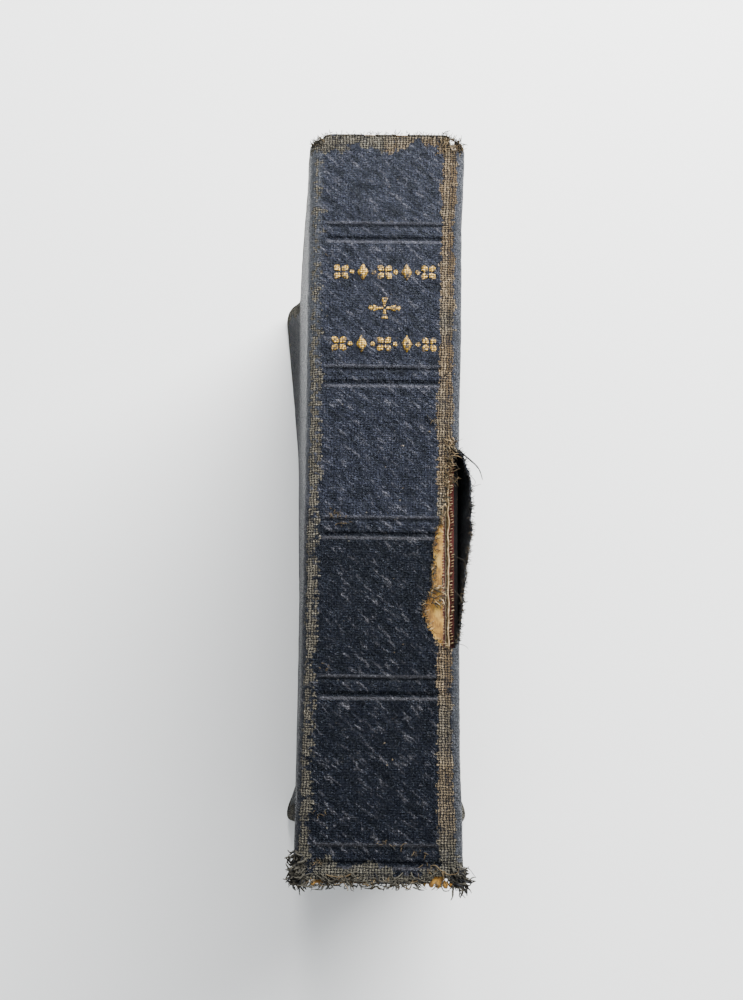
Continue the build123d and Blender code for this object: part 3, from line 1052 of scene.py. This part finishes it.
def fray_tail(threads):
    """The worn tail edge: loops and ends of grey yarn, thick at both corners."""
    for _ in range(130):
        p = abs(between(-13.2, 13.2))
        side = rng.choice(("front", "back"))
        if side == "front" and 7.2 < p < 12.2 and rng.random() < 0.8:
            continue
        y = -HALF + between(0.05, 1.6)
        start = on_cloth(p, y, 0.06, side)
        heading = (between(-0.7, 0.7), -1, between(-0.25, 0.35))
        yarn = rng.choice(MOSTLY_GREY)
        line = loose_thread(start, heading, between(0.4, 1.1), 1.0, 0.12)
        threads.add(line, between(0.08, 0.14), yarn)
    for _ in range(46):  # threads still caught at both ends, lying over the fold
        side = rng.choice(("front", "back"))
        start = on_cloth(abs(between(-11.5, 11.5)), -HALF + between(0.6, 2.6), 0.10, side)
        heading = (between(-1, 1), -0.8, 0.25)
        line = loose_thread(start, heading, between(1.8, 4.2), 0.85, 0.03, SPINE_Z + 0.05)
        line = [Vector((at.x, max(at.y, -HALF - 0.5), at.z)) for at in line]
        threads.add(line, between(0.09, 0.14), rng.choice(MOSTLY_GREY))
    for _ in range(70):  # and a mat of them along it
        side = rng.choice(("front", "back"))
        p = between(0, 11.8 if side == "back" else 7.4)
        start = on_cloth(p, -HALF + between(-0.1, 1.1), 0.12, side)
        heading = (rng.choice((-1, 1)), between(-0.5, 0.3), 0.1)
        line = loose_thread(start, heading, between(1.2, 3.4), 0.75, 0.02, SPINE_Z - 0.2)
        line = [Vector((at.x, max(at.y, -HALF - 0.4), at.z)) for at in line]
        threads.add(line, between(0.08, 0.14), rng.choice((GREY_YARN, GREY_YARN, DARK_YARN, TAN_YARN)))
    for side, count, up_to in (("back", 150, 5.6), ("front", 90, 3.6)):  # the corners
        for _ in range(count):
            p = between(12.0, 15.6)
            y = -HALF + between(0.2, up_to)
            start = on_cloth(p, y, 0.05, side)
            heading = (SIGN[side] * between(0.1, 1.0), -between(0.2, 1.1), between(-0.2, 0.3))
            yarn = rng.choice((DARK_YARN, GREY_YARN, GREY_YARN, GREY_YARN))
            line = loose_thread(start, heading, between(0.8, 2.7), 1.1, 0.08)
            threads.add(line, between(0.11, 0.22), yarn)
    lying = (0.0, SPINE_Z + 0.1)
    strays(threads, (
        (on_cloth(9.0, -66.5), (0.9, 0.9, 0.3), 6.4, (1.05, *lying), 0.10, TAN_YARN),
        (on_cloth(9.6, -67.4), (-0.2, -1, 0.3), 4.6, (1.3, *lying), 0.10, GREY_YARN),
        (on_cloth(14.6, -66.8), (1, -0.15, 0.2), 3.2, (0.3,), 0.07, DARK_YARN),
        (on_cloth(8.0, -69.3, 0.06, "back"), (0.5, -1, 0.1), 4.5, (0.9,), 0.10, GREY_YARN),
        (on_cloth(5.0, -69.3, 0.06, "back"), (-0.3, -1, 0.1), 3.8, (1.1,), 0.10, GREY_YARN),
    ))


def fray_head(threads):
    """The head edge: short tan fuzz, a torn corner at the front and a frayed one at the back."""
    for _ in range(150):
        side = rng.choice(("front", "back"))
        start = on_cloth(between(0, 13.5), HALF - between(0.0, 0.9), 0.03, side)
        heading = (between(-0.8, 0.8), between(0.2, 1), between(-0.2, 0.3))
        yarn = rng.choice((TAN_YARN, GREY_YARN, GREY_YARN))
        threads.add(loose_thread(start, heading, between(0.3, 0.85), 0.8), between(0.04, 0.08), yarn)
    tuft(threads, 60, ((9.5, 12.2), (HALF - 0.1, HALF - 3.4)), 0.05, "front", ((0.1, 1.0), (-0.6, 1.0), 0.3),
         (0.5, 1.6), (0.8,), (0.05, 0.09), (TAN_YARN, TAN_YARN, GREY_YARN, CREAM_YARN))
    tuft(threads, 46, ((13.0, 14.4), (HALF, HALF - 4.0)), 0.05, "front", ((-0.8, 0.8), (0.0, 1.0), 0.2),
         (0.5, 1.5), (0.8,), (0.05, 0.09), (GREY_YARN, DARK_YARN, TAN_YARN))
    tuft(threads, 60, ((11.2, 14.8), (HALF, HALF - 2.6)), 0.03, "back", ((-1.0, 0.3), (-0.1, 1.0), 0.1),
         (0.4, 1.2), (0.7,), (0.05, 0.09), (GREY_YARN, TAN_YARN, GREY_YARN))


def fray_split(threads):
    """Fibres along both sides of the split, the cut cross threads inside it and a few long strays."""
    for _ in range(330):
        y = between(TEAR_LOW, TEAR_HIGH + 2.0)
        inner = float(tear_sides(np.array([y]))[0][0])
        start = on_cloth(inner + between(-0.8, 0.15), y, 0.03)
        heading = (between(0.1, 1.0), between(-0.9, 0.9), between(-0.2, 0.3))
        dark = inner < 10.2 and rng.random() < 0.55
        yarn = rng.choice((GREY_YARN, DARK_YARN) if dark else (TAN_YARN, TAN_YARN, CREAM_YARN, GREY_YARN))
        line = loose_thread(start, heading, between(0.4, 1.3), 0.6, 0.08)
        threads.add(line, between(0.045, 0.085), yarn)
    for _ in range(620):  # the flap's furry edge
        y = between(TEAR_LOW + 1.0, TEAR_HIGH + 0.4)
        outer = float(tear_sides(np.array([y]))[1][0])
        start = on_cloth(outer + between(-0.1, 0.9), y, between(-0.25, 0.03))
        heading = (between(-0.5, 1.0), between(-0.7, 0.7), between(-0.1, 0.7))
        threads.add(loose_thread(start, heading, between(0.35, 1.05), 0.8), between(0.035, 0.07),
                    rng.choice((DARK_YARN, GREY_YARN) if y > -6 else (GREY_YARN, GREY_YARN, DARK_YARN, TAN_YARN)))
    # a tuft pulled across it
    tuft(threads, 46, ((9.0, 11.2), (-21.8, -18.4)), 0.04, "front", ((0.2, 1.0), (-0.6, 0.9), 0.1),
         (0.7, 1.9), (0.6, 0.04), (0.06, 0.11), (TAN_YARN, GREY_YARN, CREAM_YARN, GREY_YARN))
    top, board_top = INLAY_TOP - 0.35, AXIS_Z - 0.42
    y = TEAR_LOW + 2.0
    while y < 2.5:  # cross threads of the torn lining
        x = 10.88 + between(-0.08, 0.08)
        line = [Vector((x, y, top)), Vector((x + 0.25, y + between(-0.1, 0.15), top + 0.10)),
                Vector((x + between(0.4, 0.62), y + between(-0.1, 0.25), top + between(-0.15, 0.05)))]
        threads.add(line, between(0.09, 0.13), CREAM_YARN)
        y += between(0.44, 0.62)
    y = TEAR_LOW + 1.0
    while y < 4.5:  # and of the board's own
        x = 12.62 + between(-0.12, 0.12) + 0.2 * math.sin(y * 0.8)
        span, shift = between(0.4, 0.62), between(-0.1, 0.1)
        line = [Vector((x, y + shift, board_top)), Vector((x + span / 2, y + shift + 0.12, board_top + 0.25)),
                Vector((x + span, y + shift + between(0.1, 0.3), board_top + between(0.0, 0.1)))]
        threads.add(line, between(0.10, 0.15), CREAM_YARN if rng.random() < 0.85 else TAN_YARN)
        y += between(0.44, 0.62)
    # the tan thatch over the split's head end
    tuft(threads, 70, ((11.0, 13.4), (0.5, TEAR_HIGH + 2.5)), 0.05, "front", ((-0.2, 0.6), (-1.0, 0.2), 0.1),
         (0.6, 1.9), (0.5, 0.05), (0.05, 0.09), (TAN_YARN, CREAM_YARN, GREY_YARN, TAN_YARN))
    strays(threads, (
        (on_cloth(14.6, 7.0), (1, -0.9, 0.2), 7.4, (0.16,), 0.16, DARK_YARN),
        (on_cloth(15.2, 2.6), (0.8, -0.9, 0.4), 3.6, (0.75,), 0.055, DARK_YARN),
        (on_cloth(15.0, -1.0, 0.2), (-0.5, 0.8, 0.5), 3.2, (0.6,), 0.07, GREY_YARN),
        (on_cloth(14.9, -17.0, 0.2), (0.35, 1.0, 0.3), 6.4, (0.35,), 0.08, GREY_YARN),
        (on_cloth(14.6, -22.0, 0.2), (0.1, 1.0, 0.3), 3.8, (0.5,), 0.07, GREY_YARN),
        (on_cloth(13.8, -28.6), (1, -0.45, 0.1), 2.4, (0.25,), 0.06, DARK_YARN),
    ))


def wear_specks(threads):
    """Tufts raised where the cloth has been nicked, on the bands and near the tail."""
    spots = ((-8.5, -5.5, 16), (-7.6, -7.3, 12), (6.4, -64.6, 7), (0.6, -62.8, 8), (3.4, -63.4, 6), (9.0, 12.5, 5),
             (-10.4, -58.0, 8), (-11.2, 44.0, 4), (-9.6, -33.0, 5), (8.9, -67.0, 14), (-10.3, -66.0, 10))
    for x, y, count in spots:
        side = "front" if x > 0 else "back"
        for _ in range(count):
            start = on_cloth(abs(x) + rng.gauss(0, 0.7), y + rng.gauss(0, 0.35), 0.02, side)
            heading = (between(-1, 1), between(-1, 1), 0.15)
            line = loose_thread(start, heading, between(0.4, 1.1), 0.7, 0.05, SPINE_Z - 0.05)
            threads.add(line, between(0.04, 0.07), rng.choice((TAN_YARN, TAN_YARN, GREY_YARN)))


# ---------------------------------------------------------------- gilt tooling


LEAF_LIFT = 0.045  # the gold leaf's face above the cloth's


def spine_lift(x, y):
    """The height of the cloth's face on the flat of the spine."""
    return SPINE_Z - grain_depth(x, y) - tooled_depth(x, y)


def leaf_outline(kind):
    """A small tool's outline about its own middle, one unit high."""
    if kind == "lozenge":
        return [[(0, 0.5), (-0.3, 0), (0, -0.5), (0.3, 0)]]
    if kind == "dot":
        return [[(0.13 * math.cos(a), 0.13 * math.sin(a)) for a in np.linspace(0, 2 * math.pi, 13)[:-1]]]
    petals = []
    for quarter in range(4):
        a = quarter * math.pi / 2 + (math.pi / 4 if kind == "flower" else 0)
        shape = []
        for t in np.linspace(0, 1, 9):
            wide = 0.17 * math.sin(math.pi * t) ** 0.8 if kind == "flower" else 0.05 + 0.13 * t**2
            shape.append((0.07 + 0.45 * t, wide))
        shape = shape + [(r, -w) for r, w in reversed(shape)]
        petals.append([(r * math.cos(a) - w * math.sin(a), r * math.sin(a) + w * math.cos(a)) for r, w in shape])
    return petals


def tooling():
    """Rows of small generic tools in gold leaf, between the first two bands."""
    points, faces = [], []
    row_long = ("flower", "dot", "lozenge", "dot", "flower", "dot", "lozenge", "dot", "flower")
    rows = ((41.2, row_long, 2.08), (34.0, ("dot", "cross", "dot"), 2.6), (26.9, row_long, 2.12))
    for y, tools, step in rows:
        for i, kind in enumerate(tools):
            x = (i - (len(tools) - 1) / 2) * step + 0.1
            size = 4.0 if kind == "cross" else 3.5
            for outline in leaf_outline(kind):
                base = len(points)
                for a, b in outline:
                    wear = 0.03 * noise.noise((x + a * 9, y + b * 9, 2.0))
                    px, py = x + (a + wear) * size, y + (b + wear) * size
                    points.append((px, py, float(spine_lift(px, py)) + LEAF_LIFT))
                faces.append(tuple(range(base, base + len(outline))))
    obj = mesh_object("gilt_tooling", points, faces, [GOLD], [p[:2] for p in points])
    with edited(obj) as bm:
        bmesh.ops.triangulate(bm, faces=bm.faces[:])
        bmesh.ops.subdivide_edges(bm, edges=bm.edges[:], cuts=2, use_grid_fill=True)
        bmesh.ops.recalc_face_normals(bm, faces=bm.faces[:])
        for face in bm.faces:
            if face.normal.z < 0:
                face.normal_flip()
        for vert in bm.verts:
            vert.co.z = (float(spine_lift(vert.co.x / MM, vert.co.y / MM)) + LEAF_LIFT) * MM
    thickened(obj, 0.05)
    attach(obj, "text_block")


# ---------------------------------------------------------------- make everything

for side in ("front", "back"):
    cloth_half(side)
    board_and_pastedown(side)
    flyleaf(side)
for number in range(1, 25):
    section(number)
headband("head_silk_band", "headband")
headband("tail_silk_band", "tailband")
inlay()
split_inside()
card_chips()
tooling()
threads = Threads()
for fray in (fray_tail, fray_head, fray_split, wear_specks):
    fray(threads)
threads.build()

KEPT = {
    "spine_lining": LINING, "mull": MULL, "tape_stitches": CREAM, "kettle_stitches": CREAM,
    "sewing_tape_head": TAPE, "sewing_tape_middle": TAPE, "sewing_tape_tail": TAPE,
    "headband_core": CREAM, "tailband_core": CREAM,
    "front_mull_flange": MULL, "back_mull_flange": MULL, "front_tape_slips": TAPE, "back_tape_slips": TAPE,
}
for node, material in KEPT.items():
    for slot in frame["nodes"][node].material_slots:
        slot.material = material


# ---------------------------------------------------------------- floor, light and camera


def floor():
    s = Shader("pale_floor")
    s.bsdf.inputs["Roughness"].default_value = 0.9
    place = s.place()
    tone = s.mix(s.noise(place, 3, 2), (0.80, 0.81, 0.81), (0.83, 0.835, 0.83))
    material = s.finish(tone)
    size = 3000
    obj = mesh_object("floor", [(-size, -size, 0), (size, -size, 0), (size, size, 0), (-size, size, 0)],
                      [(0, 1, 2, 3)], [material])


def area_light(name, at, aim, size, energy, colour=(1, 1, 1)):
    data = bpy.data.lights.new(name, "AREA")
    data.shape, data.size, data.size_y = "RECTANGLE", size[0], size[1]
    data.energy, data.color = energy, colour
    obj = bpy.data.objects.new(name, data)
    obj.location = at
    obj.rotation_euler = (Vector(aim) - Vector(at)).to_track_quat("-Z", "Y").to_euler()
    bpy.context.scene.collection.objects.link(obj)


floor()
book = (0, 0, 0.06)
area_light("window_over_head", (0.26, 0.60, 0.44), (0, 0.03, 0.05), (0.9, 0.45), 39.5, (1.0, 0.995, 0.985))
area_light("ceiling", (0.2, 0.5, 1.2), book, (1.2, 1.2), 3.0)
world = bpy.data.worlds.new("soft_room")
world.use_nodes = True
world.node_tree.nodes["Background"].inputs["Color"].default_value = (0.92, 0.96, 1.0, 1)
world.node_tree.nodes["Background"].inputs["Strength"].default_value = 0.78
bpy.context.scene.world = world

camera = bpy.data.cameras.new("camera")
camera.lens, camera.sensor_width = 37.8, 36.0
camera.clip_start = 0.01
view = bpy.data.objects.new("camera", camera)
view.location = (-0.00152, -0.0378, 0.2864)
view.rotation_euler = (math.radians(10.5), 0, math.radians(0.66))
bpy.context.scene.collection.objects.link(view)
bpy.context.scene.camera = view
